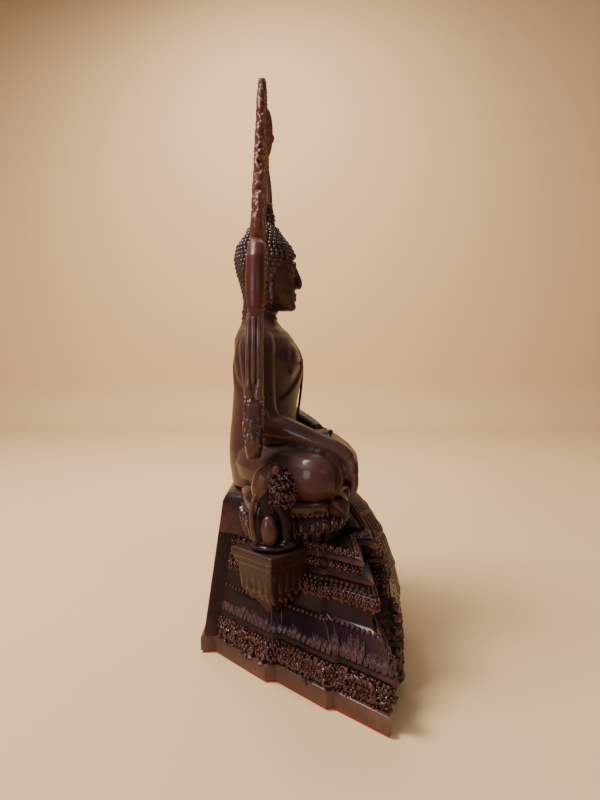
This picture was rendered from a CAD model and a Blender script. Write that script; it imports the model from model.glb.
# %% [markdown]
# # A seated Buddha in stained cast resin
# The real object is a table statue about 31 cm tall: a figure in the earth-touching pose on a tiered
# lotus throne, with a flame arch behind its arms. It is cast in resin, stained dark brown and rubbed
# back, so raised edges look reddish and hollows look nearly black.
#
# The CAD model already holds every outline and place. This notebook dresses it: each cell models one
# thing the way a modeller would by hand, and each finished piece stands in for its CAD node.

import math
import random

import bpy
import bmesh
from mathutils import Matrix, Vector


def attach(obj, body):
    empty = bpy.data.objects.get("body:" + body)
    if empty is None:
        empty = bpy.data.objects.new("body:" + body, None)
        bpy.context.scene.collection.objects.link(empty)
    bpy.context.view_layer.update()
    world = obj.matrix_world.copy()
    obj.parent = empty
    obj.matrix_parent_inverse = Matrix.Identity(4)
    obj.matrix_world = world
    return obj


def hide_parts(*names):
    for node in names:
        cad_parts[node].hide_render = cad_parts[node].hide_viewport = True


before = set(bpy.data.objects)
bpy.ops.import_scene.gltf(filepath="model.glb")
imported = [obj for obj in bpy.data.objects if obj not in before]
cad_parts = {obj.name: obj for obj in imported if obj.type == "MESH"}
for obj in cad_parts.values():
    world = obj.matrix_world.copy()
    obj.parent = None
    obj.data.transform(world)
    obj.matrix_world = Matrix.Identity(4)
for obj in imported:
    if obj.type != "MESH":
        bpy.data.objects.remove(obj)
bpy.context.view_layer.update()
MM = 0.001

# %% [markdown]
# ## Small tools for modelling by hand
# An operator acts on whatever is selected, so every step starts with nothing selected. Sizes are
# written in millimetres, as on a maker's drawing, and turned into metres in one place.


# %% Selecting and finishing
def clear():
    if bpy.context.object and bpy.context.object.mode != "OBJECT":
        bpy.ops.object.mode_set(mode="OBJECT")
    bpy.ops.object.select_all(action="DESELECT")


def choose(*objects):
    clear()
    for o in objects:
        o.select_set(True)
    bpy.context.view_layer.objects.active = objects[0]


def settle(o):
    """Moves the object's place and turn into its mesh, so that its origin is the world's."""
    choose(o)
    bpy.ops.object.transform_apply(location=True, rotation=True, scale=True)
    return o


def join(*objects):
    if len(objects) > 1:
        choose(*objects)
        bpy.ops.object.join()
    return settle(objects[0])


def modify(o, kind, **settings):
    choose(o)
    modifier = o.modifiers.new(kind.title(), kind)
    for name, value in settings.items():
        setattr(modifier, name, value)
    bpy.ops.object.modifier_apply(modifier=modifier.name)
    return o


def open_mesh(o):
    """Edit mode with the object's whole mesh selected."""
    choose(o)
    bpy.ops.object.mode_set(mode="EDIT")
    bpy.ops.mesh.select_all(action="SELECT")


def extrude(offset):
    bpy.ops.mesh.extrude_region_move(TRANSFORM_OT_translate={"value": offset})


def select_edges(o, chosen):
    """In edit mode, selects the edges whose ends are both chosen; chosen is asked for each place."""
    mesh = bmesh.from_edit_mesh(o.data)
    for edge in mesh.edges:
        edge.select = all(chosen(v.co) for v in edge.verts)
    mesh.select_flush(True)
    bmesh.update_edit_mesh(o.data)


def extrude_edges(offset):
    bpy.ops.mesh.extrude_edges_move(TRANSFORM_OT_translate={"value": offset})


def normals_out(o, merge=0.01):
    """Turns the faces outward, once points closer than merge millimetres are one."""
    open_mesh(o)
    bpy.ops.mesh.remove_doubles(threshold=merge * MM)
    bpy.ops.mesh.normals_make_consistent(inside=False)
    bpy.ops.object.mode_set(mode="OBJECT")
    return o


def smooth_edges(o, angle=40):
    choose(o)
    bpy.ops.object.shade_smooth_by_angle(angle=math.radians(angle))
    return o


# %% [markdown]
# ## Four starting shapes
# A ball, a tower of rings, a strand and a leaf are enough for nearly everything here. The tower is a
# disc that is extruded upward ring by ring. The strand is a curve with a round bevel whose radius
# changes along the way. The leaf is a flat outline that is extruded and inset, so it gets a rim.


# %% Ball, tower, strand and leaf
def ball(x, y, z, rx, ry=None, rz=None, segments=20, rings=12, turn=(0, 0, 0)):
    clear()
    size = (rx * MM, (ry or rx) * MM, (rz or rx) * MM)
    bpy.ops.mesh.primitive_uv_sphere_add(
        segments=segments,
        ring_count=rings,
        radius=1,
        location=(x * MM, y * MM, z * MM),
        rotation=[math.radians(a) for a in turn],
        scale=size,
    )
    return settle(bpy.context.object)


def small_ball(x, y, z, radius, stretch=1):
    """A coarse ball, for motifs that are repeated hundreds of times."""
    return ball(x, y, z, radius, radius, radius * stretch, segments=6, rings=4)


def bead(radius):
    return ball(0, 0, 0, radius, segments=8, rings=5)


def turns(amount):
    """Evenly spaced angles of a full circle."""
    return [math.tau * n / amount for n in range(amount)]


def tower(sections, sides=40):
    """sections are (x, y, z, half width, half depth), from the bottom up."""
    clear()
    x, y, z, wide, deep = sections[0]
    centre = Vector((x, y, z)) * MM
    bpy.ops.mesh.primitive_circle_add(vertices=sides, radius=1, fill_type="NGON", location=centre)
    made = settle(bpy.context.object)
    open_mesh(made)
    bpy.ops.transform.resize(value=(wide * MM, deep * MM, 1), center_override=centre)
    for x, y, z, new_wide, new_deep in sections[1:]:
        there = Vector((x, y, z)) * MM
        extrude(there - centre)
        size = (new_wide / wide, new_deep / deep, 1)
        bpy.ops.transform.resize(value=size, center_override=there)
        centre, wide, deep = there, new_wide, new_deep
    return normals_out(made)


def strand(path, closed=False, detail=3, steps=8):
    """path is a list of (x, y, z, radius); the strand runs smoothly through all of them."""
    clear()
    bpy.ops.curve.primitive_bezier_curve_add(location=(0, 0, 0))
    made = bpy.context.object
    line = made.data.splines[0]
    line.bezier_points.add(len(path) - 2)
    for knot, (x, y, z, radius) in zip(line.bezier_points, path):
        knot.co = Vector((x, y, z)) * MM
        knot.radius = radius
        knot.handle_left_type = knot.handle_right_type = "AUTO"
    line.use_cyclic_u = closed
    made.data.bevel_depth = MM
    made.data.bevel_resolution = detail
    made.data.resolution_u = steps
    made.data.use_fill_caps = not closed
    bpy.ops.object.convert(target="MESH")
    return normals_out(bpy.context.object)


LEAF_FRONT = 0.86


def leaf(outline, thick, rim=0.5, groove=0.3, belly=0.5):
    """outline is a list of (across, up) points; the leaf faces +X, its back is at x = 0 and larger."""
    clear()
    bpy.ops.mesh.primitive_circle_add(vertices=len(outline), radius=MM, fill_type="NGON")
    made = bpy.context.object
    for corner, (across, up) in zip(made.data.vertices, outline):
        corner.co = Vector((0, across, up)) * MM
    open_mesh(made)
    out = Vector((MM, 0, 0))
    extrude(out * thick)
    bpy.ops.transform.resize(value=(1, LEAF_FRONT, LEAF_FRONT))
    bpy.ops.mesh.inset(thickness=rim * MM)
    bpy.ops.transform.translate(value=-out * groove)
    bpy.ops.mesh.inset(thickness=rim * 0.5 * MM)
    bpy.ops.transform.translate(value=out * belly)
    bpy.ops.mesh.inset(thickness=rim * 0.8 * MM)
    bpy.ops.transform.translate(value=out * groove)
    return normals_out(made, merge=0.002)


# %% [markdown]
# ## Copies and casting
# What repeats is modelled once and copied, each copy with its own mesh. A cast piece has no seams
# between its forms: they are joined, rebuilt as one skin from small voxels, and rubbed smooth.


# %% Copy and cast
def copies(model, places):
    """places are 4 by 4 matrices in millimetres; the model is used up."""
    made = []
    for place in places:
        twin = model.copy()
        twin.data = model.data.copy()
        bpy.context.scene.collection.objects.link(twin)
        place = place.copy()
        place.translation = place.translation * MM
        twin.matrix_world = place
        made.append(twin)
    bpy.data.objects.remove(model)
    bpy.context.view_layer.update()
    return join(*made)


def at(x, y, z, turn=0, lean=0, size=1):
    """A place: size first, then a lean about Y, then a turn about Z, both in degrees."""
    scale = Matrix.Diagonal((size, size, size, 1))
    tilt = Matrix.Rotation(math.radians(lean), 4, "Y")
    spin = Matrix.Rotation(math.radians(turn), 4, "Z")
    return Matrix.Translation((x, y, z)) @ spin @ tilt @ scale


def mirror(o):
    """The object with its copy on the other side of x = 0."""
    choose(o)
    bpy.ops.object.duplicate()
    twin = bpy.context.object
    choose(twin)
    bpy.ops.transform.resize(value=(-1, 1, 1), center_override=(0, 0, 0))
    open_mesh(settle(twin))
    bpy.ops.mesh.flip_normals()
    return join(o, normals_out(twin))


def cast(o, grain, rub=4, strength=0.5, keep=0.5):
    """One skin over everything in the object, from voxels of that size in millimetres, thinned after."""
    modify(o, "REMESH", mode="VOXEL", voxel_size=grain * MM)
    modify(o, "SMOOTH", factor=strength, iterations=rub)
    modify(o, "DECIMATE", ratio=keep)
    choose(o)
    bpy.ops.object.shade_smooth()
    return o


def count(o):
    o.data.calc_loop_triangles()
    return len(o.data.loop_triangles)


def finish_piece(o, name, material, node):
    o.name = o.data.name = name
    o.data.materials.clear()
    o.data.materials.append(material)
    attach(o, "root")
    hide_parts(node)
    print(name, count(o), "triangles")


# %% [markdown]
# ## The stain
# Stained resin has three things going on: a brown that drifts between dark and reddish over a few
# centimetres, near-black stain lying in the hollows, and worn edges where the stain was rubbed off.
# The mesh's own convexity, which Cycles calls pointiness, tells hollows from edges. Shader maths is
# written as Python expressions on a small socket class.


# %% Sockets that can be added and multiplied
class Value:
    def __init__(self, finish, socket):
        self.finish, self.socket = finish, socket

    def maths(self, operation, *others):
        return self.finish.node("ShaderNodeMath", {"operation": operation}, [self, *others])

    def __add__(self, other):
        return self.maths("ADD", other)

    def __mul__(self, other):
        return self.maths("MULTIPLY", other)


class Finish:
    """A material and its node tree, with one method that adds any node."""

    def __init__(self, name):
        self.material = bpy.data.materials.new(name)
        self.material.use_nodes = True
        self.tree = self.material.node_tree
        self.shader = self.tree.nodes["Principled BSDF"]

    def set(self, socket, value):
        if isinstance(value, Value):
            self.tree.links.new(value.socket, socket)
        else:
            socket.default_value = value

    def node(self, kind, settings=None, inputs=(), output=0):
        made = self.tree.nodes.new(kind)
        for name, value in (settings or {}).items():
            if name == "stops":
                while len(made.color_ramp.elements) < len(value):
                    made.color_ramp.elements.new(0.5)
                for stop, (place, tone) in zip(made.color_ramp.elements, value):
                    stop.position, stop.color = place, tone
            else:
                setattr(made, name, value)
        items = inputs.items() if isinstance(inputs, dict) else enumerate(inputs)
        for key, value in items:
            self.set(made.inputs[key], value)
        return Value(self, made.outputs[output])

    def noise(self, scale, detail=3, roughness=0.55):
        where = self.node("ShaderNodeTexCoord", output="Object")
        inputs = {"Vector": where, "Scale": scale, "Detail": detail, "Roughness": roughness}
        return self.node("ShaderNodeTexNoise", {}, inputs)

    def ramp(self, value, stops):
        grey = [(place, (level, level, level, 1)) for place, level in stops]
        return self.node("ShaderNodeValToRGB", {"stops": grey}, [value])

    def mix(self, share, first, second):
        inputs = {"Factor": share, 6: first, 7: second}
        return self.node("ShaderNodeMix", {"data_type": "RGBA"}, inputs, output=2)

    def surface(self, **values):
        for name, value in values.items():
            self.set(self.shader.inputs[name.replace("_", " ")], value)
        return self.material


def colour(red, green, blue):
    """An sRGB colour of 0 to 255 as the linear colour that a shader wants."""
    parts = [c / 255 for c in (red, green, blue)]
    linear = [c / 12.92 if c <= 0.04045 else ((c + 0.055) / 1.055) ** 2.4 for c in parts]
    return (*linear, 1)


# %% Stained resin, in one recipe
def stained_resin(
    name, body, warm, hollow, edge, shine=0.3, grain=0.15, wear=1.0, coat=0.22, specular=0.3
):
    """Four colours by place, then roughness, depth of grain, rubbing, and strength of the two glosses."""
    f = Finish(name)
    body, warm, hollow, edge = [colour(*tone) for tone in (body, warm, hollow, edge)]
    drift = f.ramp(f.noise(28, 4), [(0.36, 0), (0.66, 1)])
    tone = f.mix(drift, body, warm)
    convex = f.node("ShaderNodeNewGeometry", output="Pointiness")
    deep = f.ramp(convex, [(0.43, 1), (0.495, 0)])
    raised = f.ramp(convex, [(0.515, 0), (0.58, 1)])
    patchy = f.ramp(f.noise(160, 2), [(0.35, 0.45), (0.6, 1)])
    stained = f.mix(deep * 0.85, tone, hollow)
    rubbed = f.mix(raised * patchy * wear, stained, edge)
    speckle = f.ramp(f.noise(900, 2), [(0.3, 0), (0.7, 1)])
    gloss = speckle * 0.1 + drift * 0.06 + deep * 0.1 + shine
    height = f.noise(420, 3) * 0.7 + f.noise(1500, 2) * 0.3
    bump = f.node("ShaderNodeBump", {}, {"Strength": grain, "Distance": 0.0006, "Height": height})
    return f.surface(
        Base_Color=rubbed,
        Roughness=gloss,
        Normal=bump,
        Specular_IOR_Level=specular,
        Coat_Weight=coat,
        Coat_Roughness=0.09,
    )


# body, warm, hollow and edge colours, sRGB from 0 to 255
skin = stained_resin(
    "skin resin", (55, 33, 31), (71, 43, 39), (11, 5, 6), (100, 63, 53),
    shine=0.38, grain=0.06, wear=0.5, coat=0.16, specular=0.14,
)  # fmt: skip
carved = stained_resin(
    "carved throne resin", (33, 16, 18), (48, 21, 22), (6, 3, 5), (92, 50, 47),
    shine=0.17, grain=0.3, wear=0.6,
)  # fmt: skip
panels = stained_resin(
    "throne wall resin", (27, 14, 21), (34, 16, 24), (6, 3, 6), (92, 55, 51),
    shine=0.22, grain=0.05, coat=0.1, specular=0.1,
)  # fmt: skip
flame = stained_resin(
    "arch resin", (82, 39, 34), (98, 49, 41), (14, 6, 7), (124, 82, 70),
    shine=0.36, grain=0.25, wear=0.85, coat=0.06,
)  # fmt: skip
amber = stained_resin(
    "arch lobe resin", (72, 29, 25), (88, 35, 29), (13, 5, 6), (112, 66, 54),
    shine=0.36, grain=0.12, wear=0.7, coat=0.06,
)  # fmt: skip
curls = stained_resin(
    "hair resin", (30, 14, 17), (38, 18, 20), (5, 2, 4), (64, 36, 38), shine=0.24
)
beast = stained_resin(
    "guardian resin", (76, 40, 30), (60, 31, 25), (12, 5, 5), (114, 70, 55),
    shine=0.3, grain=0.25, coat=0.12,
)  # fmt: skip
lacquer = stained_resin(
    "lotus resin", (30, 15, 19), (44, 21, 25), (4, 2, 4), (90, 55, 54), shine=0.2, grain=0.12, wear=0.7
)
umber = stained_resin(
    "arch foot resin", (53, 28, 26), (71, 37, 33), (9, 4, 5), (112, 78, 66),
    shine=0.27, grain=0.2, wear=0.85,
)  # fmt: skip
drape = stained_resin(
    "cloth resin", (58, 33, 30), (74, 41, 36), (10, 5, 6), (118, 80, 68),
    shine=0.28, grain=0.2, wear=0.85, coat=0.14,
)  # fmt: skip
rubbed = stained_resin(
    "bracket resin", (45, 27, 26), (58, 35, 32), (9, 4, 5), (104, 70, 60),
    shine=0.3, grain=0.3, coat=0.1, specular=0.2,
)  # fmt: skip
print("materials:", sorted(material.name for material in bpy.data.materials))

# %% [markdown]
# ## The figure
# The body is built of towers and strands along its limbs, then cast as one skin. The trunk is a tower
# from hips to neck; the robe is the same tower, a little larger, cut off along its slanting hem.

# %% Trunk and robe
# x, y, height, half width and half depth
TRUNK = [
    (0, 20, 86, 37, 19),
    (0, 21.5, 96, 35.5, 18.8),
    (0, 22.2, 103, 33, 18.5),
    (0, 22.8, 112, 29.5, 17.4),
    (0, 22.6, 121, 28, 16.6),
    (0, 21.8, 130, 29.6, 16.6),
    (0, 21, 138, 32, 17.4),
    (0, 20.4, 146, 35, 18.4),
    (0, 20.4, 152, 37, 18.6),
    (0, 21.4, 158, 37.4, 17.8),
    (0, 22.6, 163.5, 34.4, 16.4),
    (0, 23.4, 167.5, 28, 14.2),
    (0, 24.6, 171, 18.6, 11.4),
    (0, 25.4, 175, 12, 9.6),
    (0, 25.2, 182, 11, 9.2),
    (0, 25, 190, 10.8, 9.2),
]
ROBE_ROWS, ROBE_THICK = 13, 1.3
# slope of the robe's hem in degrees, and a place on it
HEM_SLOPE, HEM_PLACE = 38, (-4, 20, 149)


def trunk_with_robe():
    bare = tower(TRUNK, sides=48)
    chest = [ball(side * 15, 8.2, 151.4, 15, 5.4, 10) for side in (-1, 1)]
    blades = [ball(side * 17, 33.6, 152, 12, 4, 13) for side in (-1, 1)]
    robe = tower(TRUNK[:ROBE_ROWS], sides=48)
    open_mesh(robe)
    bpy.ops.transform.shrink_fatten(value=ROBE_THICK * MM)
    slope = math.radians(HEM_SLOPE)
    bpy.ops.mesh.bisect(
        plane_co=Vector(HEM_PLACE) * MM,
        plane_no=(-math.sin(slope), 0, math.cos(slope)),
        clear_outer=True,
        use_fill=True,
    )
    bpy.ops.object.mode_set(mode="OBJECT")
    return [bare, *chest, *blades, robe]


# %% Arms, hands and fingers
def arms():
    upper = [(22, 23, 159, 8), (31, 24, 160.4, 9), (38.6, 24, 157.6, 9.6), (41.6, 23.4, 147, 8.8)]
    upper += [(42.6, 22.4, 135, 8), (43, 21.2, 126, 7.8)]
    right = [(-x, y, z, r) for x, y, z, r in upper]
    right += [(-44, 17.6, 120.4, 7.6), (-46.6, 10.6, 118.2, 6.7), (-50.4, 3, 115.8, 5.8)]
    right += [(-55, -7, 112.4, 4.7), (-58.6, -16.6, 109, 3.8), (-60.2, -20.6, 105.4, 3.5)]
    left = upper + [(42, 15.6, 120.4, 7.4), (36, 8, 117.4, 6.4), (27, 0.6, 114.8, 5.4)]
    left += [(15, -5.4, 112.6, 4.4), (7, -8, 111.4, 3.8)]
    right_palm = ball(-60.6, -21.8, 100.6, 5.6, 3.2, 6)
    left_palm = ball(1.4, -9, 110.2, 7, 6, 2.6)
    made = [strand(right), strand(left), right_palm, left_palm]
    fingers = []
    for n in range(4):
        x = -65 + 2.9 * n
        tip = 88.2 + 0.9 * abs(n - 1.4)
        fingers.append([(x, -22.8, 99, 1.9), (x, -22.9, 94, 1.7), (x + 0.2, -21.6, tip, 1.2)])
        y = -13.6 + 3 * n
        reach = -13.5 + abs(n - 1.5)
        fingers.append([(1, y, 109.8, 1.9), (-7, y, 108.8, 1.7), (reach, y, 109.6, 1.2)])
    fingers.append([(-57, -20.4, 103, 2), (-54.8, -18.6, 97.6, 1.7), (-54.8, -18.2, 93.6, 1.3)])
    fingers.append([(4, -13, 110.6, 2), (0, -14.8, 111.4, 1.7), (-4, -14.6, 111.6, 1.3)])
    return made + [strand(finger, detail=2) for finger in fingers]


# %% Crossed legs and feet
def legs():
    thigh = [(16, 24, 98, 14), (32, 19, 98.4, 14.4), (47, 9, 98.2, 13.4), (56.5, 0, 97.6, 12.2)]
    thigh += [(60.6, -6, 97.4, 11.4), (59, -12.4, 97, 8)]
    right_shin = [(-60, -8, 97, 10.6), (-47, -14, 97.4, 10), (-24, -19, 97.4, 9.4), (2, -20.2, 98.6, 8)]
    right_shin += [(22, -17, 101.6, 6.4), (33, -13, 104.4, 5.2)]
    left_shin = [(60, -8, 95.4, 10.4), (42, -15, 92, 9.4), (12, -20, 89, 8), (-18, -19.8, 86.4, 6.8)]
    left_shin += [(-38, -17, 84.6, 5.4)]
    right_foot = ball(43, -8.4, 106.6, 9.6, 6.4, 3.4, turn=(0, 8, 28))
    left_foot = ball(-47, -15.6, 83, 10, 5.4, 5, turn=(0, 0, -6))
    sole = ball(-53.6, -16.2, 81.8, 3.6, 5, 5.2, turn=(18, 0, 0))
    made = [strand(thigh, detail=5), strand([(-x, y, z, r) for x, y, z, r in thigh], detail=5)]
    made += [strand(right_shin, detail=5), strand(left_shin, detail=5), right_foot, left_foot, sole]
    for n in range(5):
        size = 1.9 if n == 0 else 1.5 - 0.08 * n
        made.append(ball(50.6 + 0.4 * n, -6.6 + 2.1 * n, 108.6 - 0.5 * n, 2.6, size, size, 10, 6))
        made.append(ball(-57.4 + 0.2 * n, -14 - 1.6 * n, 84.6 - 1.7 * n, 2, size, size, 10, 6))
    return made


# %% Cast the body
body = cast(join(*trunk_with_robe(), *arms(), *legs()), grain=0.8, rub=5)
nipple = ball(-15.6, 1.9, 150.2, 1.1, 0.8, 1.1, segments=12, rings=8)
body = join(body, nipple)
finish_piece(body, "body_and_robe", skin, "image_and_throne")

# %% [markdown]
# ## The folded shawl
# A narrow strip of cloth lies over the left shoulder and hangs straight down the chest and the back.
# From the side it shows only as a thin dark line along the outline. A flat strip is an edge as wide as
# the cloth, extruded point by point, then given a thickness and soft edges.

# %% Shawl strip
# x, y and z of its middle line, and its half width
SHAWL = [
    (13, 4.4, 116, 7),
    (13, 3.6, 122, 7),
    (14, 2.4, 130, 6.8),
    (15, 1.4, 140, 6.6),
    (15.6, 0.8, 148, 6.6),
    (16.6, 1.8, 155, 6.6),
    (18, 5.6, 162, 6.6),
    (19, 11.2, 167.4, 6.6),
    (19.8, 18, 171, 6.6),
    (19.8, 25, 172, 6.6),
    (19, 31.4, 169.6, 6.6),
    (18, 36, 163, 6.6),
    (16.6, 38.8, 155, 6.6),
    (15.4, 39.8, 146, 6.6),
    (14.6, 40, 136, 6.8),
    (13.6, 40.6, 124, 7),
    (13, 41.6, 110, 7.4),
]


def shawl_strip():
    clear()
    bpy.ops.mesh.primitive_plane_add(size=1, location=(0, 0, 0))
    made = bpy.context.object
    for corner, (side, step) in zip(made.data.vertices, ((-1, 0), (1, 0), (-1, 1), (1, 1))):
        x, y, z, half = SHAWL[step]
        corner.co = Vector((x + side * half, y, z)) * MM
    bpy.ops.object.mode_set(mode="EDIT")
    for here, there in zip(SHAWL[1:], SHAWL[2:]):
        end = Vector(here[:3]) * MM
        select_edges(made, lambda co: abs(co.y - end.y) + abs(co.z - end.z) < 0.1 * MM)
        extrude_edges((Vector(there[:3]) - Vector(here[:3])) * MM)
    bpy.ops.object.mode_set(mode="OBJECT")
    modify(made, "SOLIDIFY", thickness=1.5 * MM, offset=0)
    modify(made, "BEVEL", width=0.35 * MM, segments=2)
    modify(made, "SUBSURF", levels=1, render_levels=1)
    return smooth_edges(normals_out(made))


finish_piece(shawl_strip(), "shawl_strip", curls, "image_and_throne")

# %% [markdown]
# ## The head
# The face is a calm one on the usual proportions of drawing books: eyes half way up the head, nose and
# mouth between eye and chin. The skull is a tower of rings, and the features are balls and strands laid
# on it before casting.

# %% Skull, face and ears
# height, y, half width, front and back depth of the head
HEAD = [
    (179.5, 11, 4, 4, 5),
    (182.5, 14, 9, 8.6, 17.4),
    (188, 17, 13.4, 11.8, 15.4),
    (194, 19, 15.4, 13.8, 14.8),
    (201, 20, 16.4, 15, 16),
    (208, 20.5, 16.6, 14.6, 16.8),
    (215, 21.2, 15, 11.8, 14.8),
    (221, 22, 12, 7.8, 9.6),
    (226, 22.8, 8, 5.6, 6.4),
    (228.5, 23.2, 4, 4, 4),
]
KNOT_Y = 23.2


def between_rows(rows, place):
    """A row between two rows of a table; place counts rows from the first."""
    low = min(int(place), len(rows) - 2)
    return [p + (q - p) * (place - low) for p, q in zip(rows[low], rows[low + 1])]


def between(rows, height):
    """The rest of a row at a height between two rows; each row starts with its height."""
    for low, high in zip(rows, rows[1:]):
        if height <= high[0]:
            break
    share = (height - low[0]) / (high[0] - low[0])
    return [a + (b - a) * share for a, b in zip(low[1:], high[1:])]


def skull(grow, lowest):
    heights = [lowest] + [z for z, *_ in HEAD if z > lowest + 1]
    sections = []
    for z in heights:
        y, wide, front, back = between(HEAD, z)
        sections.append((0, y + (back - front) / 2, z, wide + grow, (front + back) / 2 + grow))
    return tower(sections, sides=48)


def mirrored_strand(path, detail=2):
    return [strand([(side * x, y, z, r) for x, y, z, r in path], detail=detail) for side in (-1, 1)]


def face():
    bridge = strand([(0, 6, 204, 1.5), (0, 4.2, 200, 1.5), (0, 3, 196, 1.8), (0, 3.2, 193.6, 2)])
    tip = ball(0, 3.4, 193.4, 2.1, 2, 1.8)
    lower_lip = strand([(-3.6, 7.2, 186.7, 0.6), (0, 5.4, 185.9, 1.2), (3.6, 7.2, 186.7, 0.6)])
    chin = ball(0, 7.6, 181.9, 4, 3, 2.6)
    features = [bridge, tip, lower_lip, chin]
    for side in (-1, 1):
        features.append(ball(side * 2.2, 4.9, 193, 1.6, 1.7, 1.3))
        features.append(ball(side * 6.9, 7.6, 199.4, 3.9, 2.3, 2.2))
    features += mirrored_strand([(0, 5.3, 188.1, 1), (1.4, 5.2, 188.5, 1), (4.4, 7.6, 188.1, 0.5)])
    features += mirrored_strand([(2.6, 6.6, 198.9, 0.4), (6.9, 5.3, 198, 0.55), (11, 8.6, 199.4, 0.4)])
    features += mirrored_strand([(1.6, 5, 203.4, 0.5), (6.4, 5.2, 205.8, 0.7), (12, 8.8, 204, 0.4)])
    return features


def ears():
    rim = [(16, 16.4, 198, 1.1), (16.8, 15.6, 203, 1.2), (17.4, 18.6, 206.6, 1.3), (18, 22.4, 204.6, 1.3)]
    rim += [(18, 23.2, 199, 1.3), (17.2, 21.6, 193, 1.2), (16.4, 21, 187, 1.2), (15.8, 20, 183.4, 1.5)]
    rim += [(15.6, 18, 184.2, 1.3), (15.8, 17.6, 190, 1.1), (16, 17, 194.4, 1.1)]
    made = mirrored_strand(rim, detail=3)
    for side in (-1, 1):
        made.append(ball(side * 16.2, 19.6, 199.6, 1.4, 3.4, 6))
        made.append(ball(side * 15.4, 19.4, 189, 1, 2, 6))
        made.append(ball(side * 17, 17.4, 197.4, 1, 1, 1.8))
    return made


def neck_creases():
    rings = []
    for z, y, wide, deep in ((171.6, 24.4, 13.2, 9.6), (175.2, 25.2, 11, 9.2), (178.8, 25.2, 10.6, 9.2)):
        path = [(wide * math.cos(a), y - deep * math.sin(a), z, 1.1) for a in turns(8)]
        rings.append(strand(path, closed=True))
    return rings


neck = tower([(0, 25.2, 168, 12, 10), (0, 25.4, 176, 11.2, 9.6), (0, 25, 190, 10.8, 9.2)])
head = cast(join(skull(0, 179.5), neck, *face(), *ears(), *neck_creases()), grain=0.42, rub=9, keep=0.7)
finish_piece(head, "head", skin, "image_and_throne")

# %% [markdown]
# ## The curls
# The hair is a cap with the face cut away, covered with rows of round curls that climb over the crown
# and the knot. One curl of forty faces is copied to each place. A slim ribbed flame stands on top.

# %% Cap and rows of curls
# y and z, from the forehead to the nape
HAIRLINE = [(-12, 210.5), (5, 211), (10, 208), (14, 203), (20, 201.5), (23.5, 197), (24, 186), (24, 170)]
CURL_PITCH, ROW_RISE, CURL_RADIUS, CURL_LIFT = 2.75, 2.3, 1.62, 1.1
HEAD_Y, KNOT_FOOT = 21, 6


def plate(corners, push, soft=0):
    """A flat outline of (x, y, z) corners, extruded along push; soft is the rounding of its edges."""
    clear()
    bpy.ops.mesh.primitive_circle_add(vertices=len(corners), radius=MM, fill_type="NGON")
    made = bpy.context.object
    for vertex, corner in zip(made.data.vertices, corners):
        vertex.co = Vector(corner) * MM
    open_mesh(made)
    extrude(Vector(push) * MM)
    normals_out(made)
    if soft:
        modify(made, "BEVEL", width=soft * MM, segments=2)
    return made


def cut(o, tool):
    modify(o, "BOOLEAN", operation="DIFFERENCE", solver="EXACT", object=tool)
    bpy.data.objects.remove(tool)
    return o


def hairline(y):
    return between(HAIRLINE, y)[0] if y < HAIRLINE[-2][0] else 0


def rows_over(profile, start, stop):
    """Staggered places over a dome; profile(z) gives y, half width, front and back depth."""
    places = []
    z, level = start, 0
    while z < stop:
        y, wide, front, back = profile(z)
        around = max(1, round(math.tau * (wide + (front + back) / 2) / 2 / CURL_PITCH))
        for n in range(around):
            turn = math.tau * (n + level % 2 / 2) / around
            out = math.cos(turn)
            places.append((wide * math.sin(turn), y + out * (back if out > 0 else front), z))
        slope = (wide - profile(z + 0.5)[1]) / 0.5
        z += ROW_RISE / math.hypot(1, slope)
        level += 1
    return places


def knot_profile(z):
    radius = 4.9 - 0.1 * (z - 224)
    return KNOT_Y, radius, radius, radius


def hair():
    corners = [(-30, y, z) for y, z in HAIRLINE] + [(-30, -12, 170)]
    cap = cut(skull(1, 183.4), plate(corners, (60, 0, 0)))
    knot_rings = []
    for z in (222, 228, 234, 239):
        radius = knot_profile(z)[1] - 0.6
        knot_rings.append((0, KNOT_Y, z, radius, radius))
    places = rows_over(lambda z: between(HEAD, z), 184.4, 227.6)
    places = [p for p in places if p[2] > hairline(p[1]) and math.dist(p[:2], (0, KNOT_Y)) > KNOT_FOOT]
    places += rows_over(knot_profile, 226, 238.6)
    outward = []
    for x, y, z in places:
        away = Vector((x, y - HEAD_Y, 0)).normalized() * CURL_LIFT
        spin = Matrix.Rotation(math.atan2(away.y, away.x), 4, "Z")
        outward.append(Matrix.Translation(Vector((x, y, z)) + away) @ spin)
    print(len(places), "curls")
    return smooth_edges(join(cap, tower(knot_rings), copies(bead(CURL_RADIUS), outward)), 60)


def crown_flame():
    rings = [(237, 4.4), (240, 5), (244, 5), (249, 4.6), (254, 4.1), (259, 3.2), (263, 1.9), (266.4, 0.6)]
    core = tower([(0, KNOT_Y, z, r * 0.84, r * 0.84) for z, r in rings], sides=24)
    ribs = []
    for a in turns(8):
        path = []
        for z, r in rings:
            path.append((r * 0.8 * math.cos(a), KNOT_Y + r * 0.8 * math.sin(a), z, 0.16 + r * 0.18))
        ribs.append(strand(path, detail=2, steps=3))
    around = [(4.6 * math.cos(a), KNOT_Y + 4.6 * math.sin(a), 239.4, 0.9) for a in turns(4)]
    collar = strand(around, closed=True)
    return smooth_edges(join(core, collar, *ribs), 60)


finish_piece(hair(), "hair_curls", curls, "image_and_throne")
finish_piece(crown_flame(), "crown_flame", flame, "image_and_throne")

# %% [markdown]
# ## The throne
# From above the throne is a wedge: a narrow wall at the back, then three splayed runs with a step back
# between them, and a straight front. Every tier has this same plan, drawn in by its own amount, so the
# body is one outline extruded upward tier by tier, with softened edges.

# %% Plan and tiers
TOTAL_DEPTH, REAR_HALF, STRIP_LENGTH, STRIP_TAPER = 108, 28.6, 7.5, 0.6
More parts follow.
